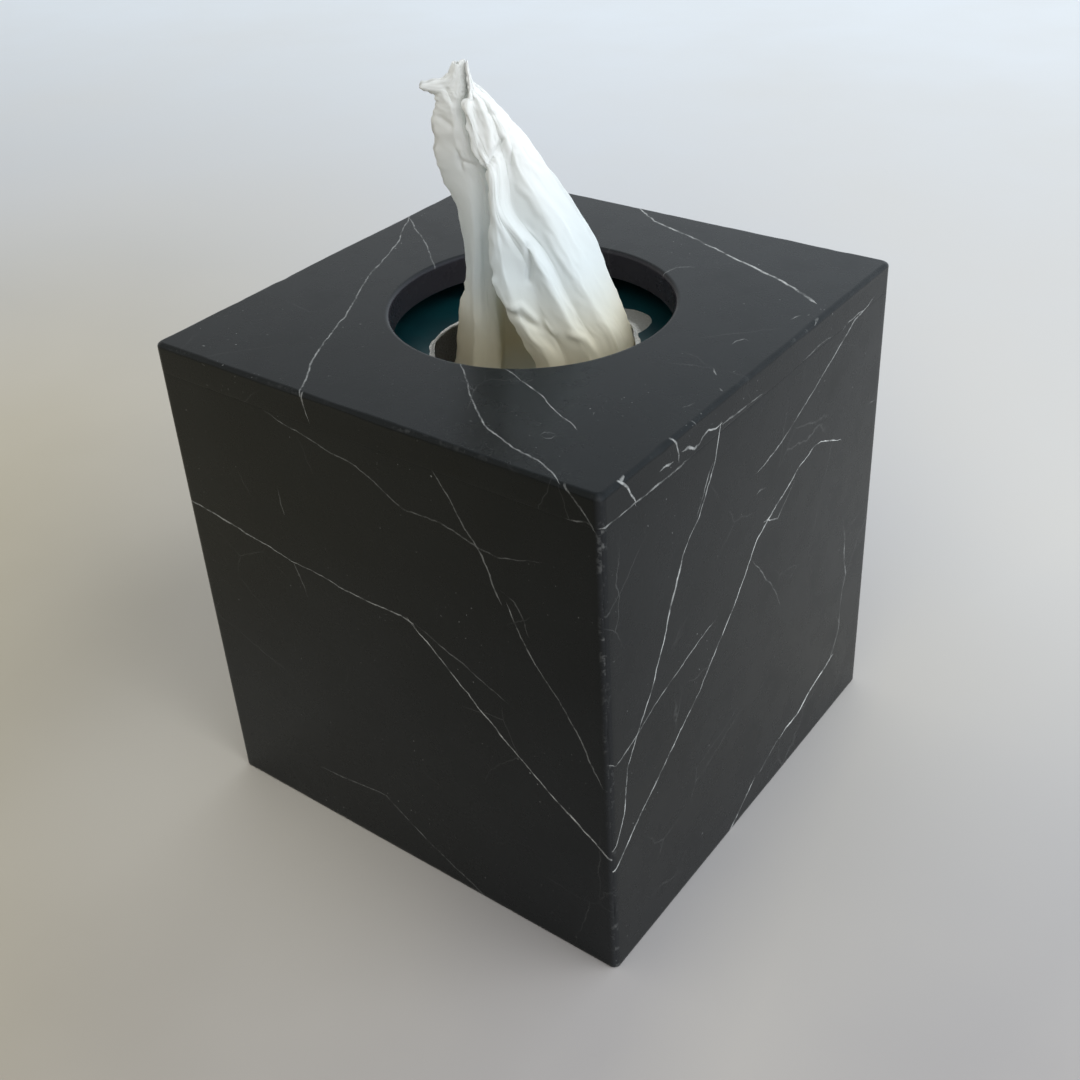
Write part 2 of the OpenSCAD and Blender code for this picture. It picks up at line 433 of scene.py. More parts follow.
TOP_VEINS = [
    (.3, [(404, 206, .2), (408, 217, .25), (427, 246, .25), (438, 274, .25), (443, 285, .2),
     (450, 300, 0)]),
    (.38, [(414, 206, .1), (409, 217, .2), (397, 243, .3), (374, 270, .35), (362, 287, .25),
     (348, 312, .35), (327, 339, .3), (313, 360, .35), (301, 388, .35), (296, 402, .3)]),
    (.34, [(458, 350, .2), (463, 370, .3), (470, 394, .3), (483, 425, .3), (507, 443, .35),
     (541, 463, .3), (554, 476, .3), (560, 484, .2)]),
    (.42, [(492, 360, 0), (504, 368, .15), (526, 383, .3), (540, 394, .3), (550, 405, .15),
     (565, 418, .2), (574, 426, .2), (577, 430, 0)]),
    (.62, [(622, 200, 0), (640, 209, .35), (654, 221, .4), (691, 237, .45), (730, 256, .5),
     (768, 274, .55), (793, 287, .55), (812, 300, .6), (818, 304, .3)]),
    (.3, [(660, 276, 0), (668, 272, .3), (676, 267, .3), (691, 267, .2), (700, 268, 0)]),
    (.16, [(539, 435, 0), (545, 432, .3), (551, 432, .3), (557, 435, 0)]),
    (.16, [(539, 435, 0), (545, 438.5, .3), (551, 438.5, .3), (557, 435, 0)]),
    (.32, [(713, 368, 0), (715, 372, .4), (717, 376, 0)]),
    (.3, [(718, 388, 0), (720, 390, .35), (723, 392, 0)]),
    (.26, [(730, 345, 0), (736, 341, .3), (744, 339, .3), (750, 341, 0)]),
    (.26, [(790, 320, 0), (796, 317, .35), (802, 315, 0)]),
    (.2, [(682, 408, 0), (688, 406, .35), (694, 402, 0)]),
]
FRONT_VEINS = [
    (.44, [(180, 494, .3), (190, 500, .35), (220, 517, .35), (250, 535, .35), (270, 547, .25),
     (290, 560, .12), (312, 570, .2), (345, 590, .25), (375, 605, .25), (400, 615, .3),
     (413, 624, .35), (418, 631, .2)]),
    (.6, [(405, 616, .1), (415, 628, .3), (445, 665, .3), (500, 735, .3), (560, 805, .35),
     (612, 862, .4), (622, 872, .4)]),
    (.17, [(262, 410, 0), (272, 415, .2), (285, 425, .25), (309, 439, .3), (329, 452, .3),
     (356, 467, .25), (373, 482, .3), (404, 509, .3), (439, 522, .3), (479, 549, .35),
     (499, 558, .3), (545, 563, 0)]),
    (.26, [(432, 470, 0), (437, 478, .3), (450, 502, .25), (464, 528, .35), (473, 541, .3),
     (482, 556, .35), (487, 568, .3), (497, 596, .35), (502, 606, 0)]),
    (.27, [(505, 600, 0), (512, 617, .3), (527, 650, .3), (540, 672, .2), (556, 697, .3),
     (580, 738, .35), (595, 773, .3), (604, 790, 0)]),
    (.15, [(500, 590, 0), (514, 602, .3), (524, 622, .3), (530, 640, 0)]),
    (.17, [(320, 766, 0), (334, 773, .3), (386, 795, .3), (426, 839, .35), (488, 899, .35),
     (500, 912, .3)]),
    (.16, [(413, 622, 0), (425, 632, .25), (440, 645, .25), (457, 659, .35), (475, 676, .2),
     (492, 690, .25), (512, 706, 0)]),
    (.2, [(277, 488, 0), (280, 497, .3), (283, 509, .3), (284, 516, 0)]),
    (.2, [(292, 560, 0), (297, 570, .3), (305, 588, .3), (309, 598, 0)]),
    (.3, [(552, 474, .3), (560, 483, .3), (568, 492, .3), (580, 508, .3), (591, 526, .3),
     (596, 534, 0)]),
    (.18, [(566, 519, 0), (576, 522, .3), (586, 523, .3), (593, 528, 0)]),
    (.34, [(297, 386, .3), (300, 394, .3), (304, 407, .3), (309, 424, 0)]),
]
RIGHT_VEINS = [
    (.8, [(612, 880, .3), (618, 865, .4), (650, 795, .3), (700, 690, .3), (740, 590, .28),
     (757, 540, .28), (769, 518, .35), (790, 483, .3), (800, 466, .22), (812, 449, .2),
     (822, 441, .3), (832, 440, .45), (842, 440, .2)]),
    (.55, [(764, 522, 0), (768, 519, .35), (774, 519, .4), (778, 518, .35), (784, 504, .2),
     (795, 480, 0)]),
    (.66, [(722, 420, .3), (720, 430, .3), (714, 464, .22), (707, 490, .3), (699, 518, .2),
     (690, 538, .15), (684, 553, .3), (672, 601, .6), (667, 627, .35), (652, 690, .3),
     (637, 735, .3), (627, 769, .3), (624, 815, .25), (617, 844, .25), (612, 860, 0)]),
    (.3, [(713, 462, 0), (709, 473, .3), (702, 500, .3), (696, 520, 0)]),
    (.4, [(598, 772, .2), (605, 769, .25), (616, 767, .25), (629, 748, .28), (656, 703, .28),
     (688, 657, .25), (706, 632, .25), (716, 620, 0)]),
    (.52, [(874, 296, 0), (868, 306, .3), (854, 322, .35), (841, 344, .3), (819, 382, .3),
     (800, 413, .3), (789, 431, .1), (781, 443, .3), (768, 460, .25), (756, 474, 0)]),
    (.4, [(843, 330, 0), (849, 322, .3), (858, 315, .3), (864, 310, 0)]),
    (1, [(834, 652, .3), (828, 662, .5), (812, 687, .6), (796, 716, .55), (786, 728, .45),
     (778, 740, 0)]),
    (.34, [(779, 738, 0), (772, 750, .3), (761, 770, .25), (752, 783, 0)]),
    (.9, [(757, 774, 0), (750, 788, .4), (742, 805, .4), (730, 830, .45), (722, 845, .55),
     (714, 855, .5), (706, 870, .3)]),
    (.34, [(842, 512, 0), (845, 540, .2), (844, 560, .4), (846, 574, .35), (842, 590, .15),
     (838, 630, .25), (832, 652, .3), (828, 664, 0)]),
    (.18, [(752, 560, 0), (760, 570, .3), (771, 585, .25), (782, 607, 0)]),
    (.16, [(756, 496, 0), (760, 490, .4), (766, 487, 0)]),
    (.16, [(866, 407, 0), (870, 403, .3), (876, 399, 0)]),
    (.62, [(611, 473, 0), (617, 477, .35), (623, 483, .5), (629, 490, .4), (633, 498, .35),
     (637, 506, 0)]),
    (.5, [(621, 484, 0), (624, 480, .45), (629, 475, 0)]),
    (.34, [(602, 531, 0), (606, 528, .45), (620, 516, .2), (636, 503, .3), (650, 491, .3),
     (664, 480, .25), (680, 467, .3), (692, 456, 0)]),
    (.46, [(659, 473, 0), (663, 468, .4), (669, 465, .4), (674, 462, 0)]),
    (.55, [(667, 433, 0), (672, 438, .3), (677, 444, .35), (679, 454, .35), (679, 464, 0)]),
    (.55, [(682, 452, 0), (688, 448, .6), (695, 449, .5), (700, 444, .4), (703, 437, .35),
     (708, 431, .4), (716, 428, .35), (724, 421, 0)]),
    (.26, [(722, 424, 0), (730, 419, .4), (744, 408, .25), (756, 399, .25), (767, 391, 0)]),
    (.3, [(803, 361, 0), (812, 353, .3), (822, 344, .2), (832, 336, 0)]),
    (.34, [(815, 326, 0), (819, 321, .4), (823, 316, 0)]),
    (.3, [(690, 417, 0), (694, 421, .4), (697, 427, 0)]),
]
# The two faces that the photograph doesn't show: x runs to the right as one looks at the face,
# y is the height
BACK_VEINS = [
    (.65, [(-70, 118, .4), (-48, 104, .4), (-30, 98, .35), (-12, 80, .4), (6, 58, .4),
     (20, 46, .35), (42, 16, .45), (52, -2, .4)]),
    (.42, [(-10, 134, .3), (-2, 112, .35), (10, 94, .3), (16, 78, .35), (30, 62, .3), (44, 56, 0)]),
    (.5, [(28, 134, .35), (36, 116, .35), (50, 100, .4), (68, 88, .4)]),
    (.24, [(-60, 70, 0), (-44, 58, .3), (-30, 40, .3), (-22, 18, .3), (-8, 4, 0)]),
    (.22, [(-66, 34, .3), (-52, 28, .3), (-36, 26, 0)]),
    (.28, [(8, 52, 0), (24, 40, .3), (46, 36, .3), (67, 24, .3)]),
]
LEFT_VEINS = [
    (.7, [(67, 82, .45), (50, 90, .4), (34, 92, .35), (12, 104, .4), (-6, 118, .35),
     (-18, 134, .4)]),
    (.46, [(-68, 96, .35), (-50, 78, .35), (-40, 60, .4), (-20, 40, .35), (-8, 22, .4),
     (2, -2, .35)]),
    (.3, [(-26, 48, 0), (-8, 56, .3), (14, 58, .3), (30, 70, .3), (40, 86, 0)]),
    (.24, [(22, 4, 0), (30, 22, .3), (44, 36, .3), (66, 42, .3)]),
    (.22, [(-60, 20, 0), (-48, 12, .3), (-40, -2, .3)]),
]
VEIN_WIDTH = 0.9
VEIN_CORE = 0.3
CURVE_MARGIN = 0.5
SKIN = 0.6


def seen_face(veins, normal, reach):
    """A face of the stone: its veins, picked through the photograph, its normal and its reach."""
    return [(s, [(pick(x, y, normal, reach), w) for x, y, w in points])
            for s, points in veins], normal, reach


def drawn_face(veins, across, normal, reach):
    """A face of the stone with veins that are measured on it."""
    return [(s, [(across * x + Vector((0, 0, y)) + normal * reach, w) for x, y, w in points])
            for s, points in veins], normal, reach


def vein_mask(tree, place, points, normal, strength):
    """Where one vein shows: along its points, at any depth under the face that they lie on."""
    first, last = points[0][0], points[-1][0]
    along = (last - first).normalized()
    aside = along.cross(normal)
    length = (last - first).length
    reach = [(p - first).dot(along) / length for p, _ in points]
    swing = [(p - first).dot(aside) for p, _ in points]
    low, high = min(swing) - CURVE_MARGIN, max(swing) + CURVE_MARGIN
    widest = max(w for _, w in points)
    start, level = first.dot(along), first.dot(aside)
    share = tree.spread(tree.dot(place, along), start, start + length)
    path = tree.curve(share, [(u, (v - low) / (high - low)) for u, v in zip(reach, swing)])
    widths = [0, *(w / widest for _, w in points[1:-1]), 0]
    width = tree.curve(share, list(zip(reach, widths)))
    here = tree.spread(tree.dot(place, aside), level + low, level + high, clamp=False)
    gap = tree.math("ABSOLUTE", tree.math("SUBTRACT", here, path))
    gap = tree.times(gap, (high - low) / (widest * VEIN_WIDTH))
    gap = tree.math("DIVIDE", gap, tree.math("MAXIMUM", width, 1e-4))
    return tree.spread(gap, VEIN_CORE, 1, strength, 0, smooth=True)


def face_mask(tree, place, bent, veins, normal, reach):
    """All veins of one face, on the skin of the slab at that face."""
    mask = tree.largest(*(vein_mask(tree, bent, points, normal, s) for s, points in veins))
    depth = tree.math("SUBTRACT", reach, tree.dot(place, normal))
    return tree.times(mask, tree.spread(depth, SKIN, 2 * SKIN, 1, 0))


STONE_DARK = colour(10, 12, 12)
STONE_GREY = colour(17, 19, 20)
ARRIS_PAINTED_HIGHLIGHT = colour(47, 48, 50)
SAWN_GREY = colour(50, 48, 53)
SHEEN_COOL = (0.86, 0.95, 1, 1)
VEIN_WHITE = colour(226, 228, 226)
CHIP_WHITE = colour(140, 141, 140)
STONE_SPECULAR = 0.2
SWAY_SIZE, SWAY, CRACK_SWAY, CRACK_SIZE = 7, 1.8, 1.6, 30


def marble(name, faces, seed):
    """Black honed marble: veins of its faces, faint cracks, flecks, bruised edges and a painted
    highlight along the upright arrises.
    """
    tree = Tree(name)
    place = tree.place()
    moved = tree.vector("ADD", place, (seed, seed * 1.7, -seed))
    sway = tree.noise(moved, SWAY_SIZE, 3, 0.6, out=1)
    sway = tree.vector("MULTIPLY", tree.vector("SUBTRACT", sway, (0.5,) * 3), (SWAY,) * 3)
    bent = tree.vector("ADD", place, sway)
    veins = tree.largest(*(face_mask(tree, place, bent, *face) for face in faces))
    veins = tree.times(veins, tree.clouds(moved, 4, 0.38, 0.66, 0.1, detail=4, rough=0.7))
    # Faint cracks that come and go
    cells = tree.vector("MULTIPLY_ADD", sway, (CRACK_SWAY,) * 3, moved)
    inputs = {"Vector": cells, "Scale": 1 / CRACK_SIZE}
    crack = tree.node("TexVoronoi", inputs, feature="DISTANCE_TO_EDGE").outputs[0]
    crack = tree.spread(crack, 0, 0.006, 1, 0, smooth=True)
    crack = tree.times(crack, tree.clouds(moved, 26, 0.54, 0.7, 0, 0.05))
    # Small pale flecks
    fleck = tree.clouds(moved, 0.9, 0.74, 0.8, 0, 0.2, detail=1)
    fleck = tree.times(fleck, tree.clouds(moved, 18, 0.5, 0.65, detail=1))
    pale = tree.largest(veins, crack, fleck)
    # Bruised arrises and top edges, and a painted highlight along the arrises
    axes = tree.axes(place)
    off_x, off_y = (tree.math("SUBTRACT", HALF, tree.math("ABSOLUTE", a)) for a in axes[:2])
    arris = tree.spread(tree.largest(off_x, off_y), 0.7, 2, 1, 0, smooth=True)
    under = tree.math("SUBTRACT", COVER_H, axes[2])
    top_edge = tree.largest(tree.math("MINIMUM", off_x, off_y), under)
    top_edge = tree.spread(top_edge, 0.35, 1.1, 0.4, 0, smooth=True)
    grit = tree.clouds(moved, 2.6, 0.54, 0.68, detail=3, rough=0.7)
    patch = tree.clouds(moved, 22, 0.45, 0.7, 0.1, detail=1)
    bruise = tree.times(tree.times(tree.largest(arris, top_edge), grit), patch)
    # Sawn wall of the hole, lighter than the honed faces
    sawn = tree.spread(tree.from_axis(axes), HOLE_R + 0.15, HOLE_R + 0.8, 0.8, 0)
    # Clouded dark ground
    cloud = tree.clouds(moved, 34, 0.3, 0.72, detail=5, rough=0.62)
    # A painted highlight lightens the upright arrises
    shade = tree.layers(STONE_DARK, (cloud, STONE_GREY), (tree.times(arris, 0.6), ARRIS_PAINTED_HIGHLIGHT),
                        (sawn, SAWN_GREY), (tree.times(bruise, 0.4), CHIP_WHITE),
                        (pale, VEIN_WHITE))
    rough = tree.clouds(moved, 12, 0.3, 0.7, 0.22, 0.32, detail=4, rough=0.7)
    rough = tree.math("ADD", rough, tree.times(bruise, 0.25))
    tree.set(Base_Color=shade, Roughness=rough, Specular_IOR_Level=STONE_SPECULAR,
             Specular_Tint=SHEEN_COOL)
    tree.bump(tree.noise(moved, 0.8), 0.12, 0.12)
    return tree.owner


# Card carton

CARD_TEAL = colour(12, 58, 62)
CARD_DEEP = colour(12, 42, 48)
CARD_RUBBED = colour(60, 120, 124)
CARD_BARE = colour(238, 238, 234)
CARD_GREY = colour(168, 163, 152)
CARD_PEELED_PAINTED_SHADE = colour(112, 112, 106)
CARD_FOLD = 0.9
CARD_INNER_FOLD = 0.4
CARD_SHARP = 35
# Places round the torn mouth: angle and half width in degrees, curl and peel in mm
LIPS = [(212, 32, 1.1, 0.5), (54, 12, 1.8, 0.6), (66, 19, 0, 7), (150, 30, 0.5, 0.4)]
# Section of the torn edge: out from the tear, up from the top, share of the curl
TORN_EDGE = [(0.9, -0.15, 0.15), (0.35, -0.1, 0.7), (0, 0, 1), (-0.08, -0.15, 1),
             (0.15, -CARD_T, 0.6)]


def printed_card():
    tree = Tree("card_printed")
    place = tree.place()
    tone = tree.clouds(place, 16, 0.3, 0.7, detail=3, rough=0.6)
    rub = tree.clouds(place, 1.2, 0.7, 0.8, 0, 0.25)
    shade = tree.layers(CARD_TEAL, (tone, CARD_DEEP), (rub, CARD_RUBBED))
    tree.set(Base_Color=shade, Roughness=tree.spread(tone, 0, 1, 0.28, 0.38))
    tree.bump(tree.noise(place, 0.6), 0.08, 0.05)
    return tree.owner


def bare_card():
    """Torn and inner card, greyer where the print is peeled off the top, that peeled patch darkened
    further as painted shade.
    """
    tree = Tree("card_bare")
    place = tree.place()
    fibre = tree.noise(place, 0.5, 4, 0.7)
    axes = tree.axes(place)
    # The peeled patch on the top: grey board, darkened further as painted shade
    peeled = tree.spread(tree.from_axis(axes), MOUTH_R + 1.2, MOUTH_R + 2.6, 0, 0.85)
    on_top = tree.spread(axes[2], CARTON_H - 0.35, CARTON_H - 0.25)
    shade = tree.layers(CARD_BARE, (tree.spread(fibre, 0.3, 0.7), CARD_GREY),
                        (tree.times(peeled, on_top), CARD_PEELED_PAINTED_SHADE))
    tree.set(Base_Color=shade, Roughness=tree.clouds(place, 9, 0.3, 0.7, 0.8, 0.95))
    tree.bump(fibre, 0.5, 0.2)
    return tree.owner


def torn_mouth(angle):
    """Reach of the torn edge and of the peeled card at an angle, and how far the edge curls."""
    x, y = math.cos(angle) * MOUTH_R, math.sin(angle) * MOUTH_R
    tear = MOUTH_R - 0.1 - 0.3 * wave(x, y, 0, 7, 5)
    tear -= 0.25 * wave(x, y, 0, 2.2, 6) + 0.15 * wave(x, y, 0, 0.8, 8)
    peel = max(0.5, 0.9 + 0.5 * wave(x, y, 0, 9, 9) + 0.4 * wave(x, y, 0, 2.5, 10))
    lift = 0.15 + 0.2 * wave(x, y, 0, 12, 12)
    for place, spread, curl, back in LIPS:
        away = (math.degrees(angle) - place + 180) % 360 - 180
        share = max(0, 1 - (away / spread) ** 2)
        lift += curl * share * (1 + 0.3 * wave(x, y, 4, 3, 14))
        peel += back * share
    return tear, tear + peel, lift


def carton_box(name):
    """Folded carton with its torn-out mouth, as one shell of card."""
    half, high = CARTON_W / 2, CARTON_H
    rings = []
    for a in slab_angles(extra=6, spread=1.2):
        tear, peeled, lift = torn_mouth(a)
        wall = square_reach(a, half, CARD_FOLD)
        flat = square_reach(a, half - CARD_FOLD, CARD_FOLD)
        inner = square_reach(a, half - CARD_T, CARD_INNER_FOLD)
        ring = [(flat * i / 4, 0) for i in range(5)]
        ring += [(square_reach(a, half - 0.25, CARD_FOLD), 0.12), (wall, 0.6)]
        ring += [(wall, z) for z in between(0.6, high - 0.6, 10)]
        ring += [(square_reach(a, half - 0.2, CARD_FOLD), high - 0.15), (flat, high)]
        ring += [(d, high) for d in between(flat, peeled, 10)]
        printed = len(ring) - 1
        ring.append((peeled - 0.12, high - 0.12))
        ring += [(tear + out, high + up + share * lift) for out, up, share in TORN_EDGE]
        ring += [(d, high - CARD_T) for d in [peeled, *between(peeled, inner, 3)]]
        ring += [(inner, z) for z in between(high - CARD_T, 2 * CARD_T, 6)]
        ring += [(inner * i / 4, 2 * CARD_T) for i in (3, 2, 1, 0)]
        rings.append((a, ring))
    kinds = ([0] * printed + [1] * (len(ring) - 1 - printed)) * len(rings)
    return turned(name, rings, False, CARD_SHARP, kinds)


# Pulled tissue. Each line is a fold of the sheet from the tip down: pixels of the photograph and,
# in mm, how far the fold stands out of the upright plane towards the camera.

FRONT = [
    # Free edge
    [(466, 64, 1), (468, 76, 1.8), (469.5, 87, 2.6), (468, 97, 3.6), (463, 104, 4.2), (467, 126, 5),
     (474, 152, 6), (485, 172, 7.4), (491, 215, 9.6), (491, 262, 11.2), (502, 305, 13.6),
     (521, 338, 15.2), (537, 366, 16)],
    # Rolled edge
    [(466.5, 63, 1.2), (468.5, 76, 2.1), (470, 87, 3), (470, 97, 4.2), (467, 105, 5),
     (472, 127, 5.9), (479, 152, 7), (489, 172, 8.4), (494.5, 215, 11), (502, 262, 12.8),
     (513, 303, 15.2), (530, 336, 16.8), (550, 364, 17.4)],
    # First valley
    [(467, 63, 1), (469, 75.5, 1.7), (470.5, 86.5, 2.4), (472, 97, 3.1), (473, 106, 4.5),
     (478, 130, 5.4), (485, 152, 6.4), (493, 171, 8), (498, 214, 10.9), (522, 257, 11.7),
     (535, 292, 13.4), (548, 326, 15.4), (566, 362, 16.2)],
    # Thin ridge
    [(467, 62.5, 1.1), (469, 75, 1.8), (471, 86, 2.5), (474, 96, 3.4), (480, 105, 4.4),
     (488, 129, 5.2), (493, 152, 6.4), (499, 170, 7.4), (503, 213, 10.3), (531, 252, 12.4),
     (550, 287, 14.5), (567, 319, 16.2), (588, 356, 17)],
    # Long valley
    [(467, 62.5, .8), (469, 75, 1.4), (471, 85.5, 2), (475, 95, 2.6), (484, 103, 3.4),
     (495, 126, 4), (501, 151, 4.7), (507, 169, 5.4), (514, 211, 7.6), (544, 250, 9.9),
     (562, 286, 12.2), (579, 319, 14), (600, 352, 14.8)],
    # Broad ridge
    [(467, 62, .8), (469.5, 74.5, 1.3), (472, 85, 1.8), (477, 94, 2.3), (487, 102, 3),
     (501, 123, 3.9), (512, 147, 4.9), (519, 169, 5.8), (542, 211, 8.2), (564, 252, 9.8),
     (582, 286, 11.8), (600, 317, 13), (616, 346, 12.8)],
    # Bright side
    [(467, 62, .4), (469.5, 74, .7), (472, 84, 1), (480, 93, 1.3), (489, 101, 1.6), (505, 121, 2.2),
     (521, 145, 2.9), (533, 169, 3.8), (558, 210, 5.2), (581, 249, 6.4), (598, 284, 7.6),
     (612, 316, 8.2), (624, 341, 8)],
    # Right line
    [(467, 62, 0), (468.5, 72, 0), (471, 82, 0), (478, 90, 0), (490, 101, 0), (508, 119, 0),
     (529, 142, 0), (547, 169, 0), (573, 209, 0), (596, 245, 0), (613, 282, 0), (622, 312, 0),
     (627, 331, 0)],
]
STRIP = [
    # Left line
    [(453, 63, 0), (446, 77, 0), (440, 85, 0), (435, 92.5, 0), (438, 105, 0), (435, 118, 0),
     (437, 146, 0), (440, 168, 0), (455, 200, 0), (466, 246, 0), (467, 285, 0), (461, 304, 0),
     (460, 350, 0)],
    # Strip fold
    [(456, 64, .8), (453, 76, .8), (447, 87, .8), (447, 94, 1.5), (450, 105, 2.4), (452, 121, 3),
     (457, 147, 3.4), (465, 172, 4), (472, 210, 5.4), (474, 252, 6), (474, 292, 6.6), (474, 322, 7),
     (473, 352, 7)],
    # Strip band
    [(460, 61, .6), (459, 75, .9), (458, 86, 1.2), (457, 95, 1.6), (457, 104, 2), (461, 122, 3),
     (468, 150, 3.8), (477, 174, 4.4), (484, 212, 5.6), (485, 256, 6), (486, 294, 6.6),
     (487, 324, 7), (487, 356, 7)],
    # Strip edge
    [(463, 60, .2), (463.5, 74, .5), (464, 86, .8), (463, 96, 1.2), (461, 105, 1.7),
     (465, 125, 2.6), (473, 152, 3.4), (484, 174, 4.2), (491, 214, 5), (494, 259, 5.6),
     (495, 298, 6), (498, 327, 6.4), (499, 360, 6.6)],
]
# The ear: the left line's third point is drawn out to here
EAR = (420.5, 86.5, 0.5)
EAR_ROW = 2
EAR_ROWS = 36
# Folds of the back, as shares of the way from the right side to the left and of the depth
BACK_FOLDS = [(.1, .55), (.26, 1), (.4, .72), (.55, 1.06), (.7, .74), (.86, .82)]
BACK_DEPTH = [.7, .8, .9, 1.5, 2.4, 3.4, 4.6, 6, 8.4, 10.6, 12.6, 14, 15]
# The hidden end turns in behind the strip: shares of the way from the strip's edge to the right
# side, and of the depth
TUCKED = [(0.04, -0.15), (0.30, -0.35), (0.55, -0.1)]
# Smaller creases of the front layer and of the strip: pixels along the crease, half width in
# pixels, height in mm
FRONT_CREASES = [
    ([(528, 246), (530, 262), (529, 280)], 5, -1),
    ([(492, 279), (503, 303), (513, 309), (521, 306), (534, 319)], 5, .8),
    ([(494, 288), (506, 312), (522, 317), (536, 326)], 5, -.8),
    ([(468, 117), (474, 135), (481, 158)], 4, -.7),
    ([(502, 140), (494, 155), (484, 170)], 5, -1.1),
    ([(510, 130), (512, 148), (511, 165)], 4, -.6),
    ([(488, 113), (497, 115), (507, 122)], 4, -.5),
    ([(570, 334), (584, 338), (592, 350)], 5, .7),
    ([(545, 322), (553, 332)], 4, .5),
    ([(518, 186), (530, 198), (538, 214)], 5, .4),
    ([(548, 236), (558, 256), (572, 276)], 5, .4),
    ([(491, 228), (497, 244), (492, 262)], 6, .6),
]
STRIP_CREASES = [
    ([(458, 152), (462, 168)], 3, -.6),
    ([(461, 160), (476, 165)], 3, -.6),
    ([(441, 118), (452, 126)], 4, -.4),
    ([(446, 90), (452, 102)], 5, -.7),
    ([(470, 262), (471, 330)], 3, -.3),
    ([(480, 230), (481, 320)], 4, .35),
]
FOOT_SPREAD = 1.13
FOOT_CLEAR = 0.6
SHEET_T = 0.25
FOLD_ROUND = 0.26
DOWN_ROUND = 0.5
BACK_WANDER, BACK_SWELL = 0.09, 0.28
BACK_CRUMPLE = 2
ACROSS_STEPS, DOWN_STEPS = 285, 150
# Rows and columns over which the tip and the edges are frayed
TIP_ROWS, FRAY_COLUMNS = 6, 7


def sheet_place(px, py, out):
    """(across, towards, height) in mm of a fold's pixel."""
    p = pick(px, py, TOWARDS, out)
    return np.array((p.dot(ACROSS), out, p.z))


def fold_lines():
    """All folds in turn: from the free edge round the right, the back and the left to the end."""
    front, strip = (np.array([[sheet_place(*p) for p in line] for line in part])
                    for part in (FRONT, STRIP))
    right, left, depth = front[-1], strip[0].copy(), np.array(BACK_DEPTH)
    strip[0][EAR_ROW] = sheet_place(*EAR)
    back, tucked = [], []
    for fold, (share, deep) in enumerate(BACK_FOLDS):
        wander = np.array([wave(r, fold * 3, 0, 2.6, 41) for r in range(len(right))])
        line = right + (left - right) * (share + BACK_WANDER * wander)[:, None]
        line[:, 1] = -depth * (deep + BACK_SWELL * np.roll(wander, 3))
        back.append(line)
    for share, deep in TUCKED:
        line = strip[-1] + (right - strip[-1]) * share
        line[:, 1] = depth * deep
        tucked.append(line)
    lines = np.concatenate([front, back, strip, tucked])
    foot = lines[:, -1].copy()
    foot[:, :2] *= FOOT_SPREAD
    foot[:, 2] = [arch_top(a * ACROSS.x + t * TOWARDS.x) + FOOT_CLEAR for a, t in foot[:, :2]]
    return np.concatenate([lines, foot[:, None]], axis=1)


def smooth_through(points, steps, roundness):
    """Curves through points along axis 0 of an array, from sharp at 0 to round at 0.5."""
    n = len(points)
    ends = np.pad(points, [(1, 1), (0, 0), (0, 0)], "reflect", reflect_type="odd")
    out = []
    for s in range(steps + 1):
        at = s / steps * (n - 1)
        i = min(int(at), n - 2)
        t = at - i
        p0, p1, p2, p3 = ends[i:i + 4]
        m1, m2 = roundness * (p2 - p0), roundness * (p3 - p1)
        out.append((2 * t**3 - 3 * t**2 + 1) * p1 + (t**3 - 2 * t**2 + t) * m1
                   + (3 * t**2 - 2 * t**3) * p2 + (t**3 - t**2) * m2)
    return np.array(out)


def sheet_world(points):
    """Points of the shared frame from (across, towards, height)."""
    axes = np.array((ACROSS, TOWARDS, (0, 0, 1)))
    return sum(points[..., i:i + 1] * axes[i] for i in range(3))


def photo_pixel(points):
    """Pixels of the photograph at points given as (across, towards, height)."""
    away = sheet_world(points) - np.array(CAMERA_MM)
    scale = FOCAL_PX / (away @ np.array(FORWARD))
    return np.stack([MIDDLE_PX[0] + scale * (away @ np.array(RIGHT)),
                     MIDDLE_PX[1] - scale * (away @ np.array(UP))], axis=-1)


def crease_height(pixels, creases):
    """Height in mm that drawn creases add at each pixel."""
    total = np.zeros(pixels.shape[:-1])
    for path, wide, height in creases:
        nearest = np.full(total.shape, np.inf)
        path = np.array(path, float)
        for a, b in zip(path, path[1:]):
            t = np.clip(((pixels - a) @ (b - a)) / ((b - a) @ (b - a)), 0, 1)
            away = np.linalg.norm(pixels - a - t[..., None] * (b - a), axis=-1)
            nearest = np.minimum(nearest, away)
        total += height * np.maximum(0, 1 - nearest / wide) ** 1.3
    return total


def crumple(u, v):
    """How far the paper is creased out of its fold at a place on the sheet, in mm."""
    soft = wave(u * 170, v * 70, 0, 12, 21) * 0.5
    crease = (0.5 - abs(wave(u * 170, v * 95, 3, 9, 23))) * 0.5
    fine = (0.5 - abs(wave(u * 170, v * 95, 5, 3.2, 25))) * 0.26
    return soft + crease + fine


def fray(count, *waves):
    """Ragged offsets in mm along an edge, from waves given as (height, size, seed)."""
    return np.array([sum(high * wave(i, 0, 0, size, seed) for high, size, seed in waves)
                     for i in range(count)])


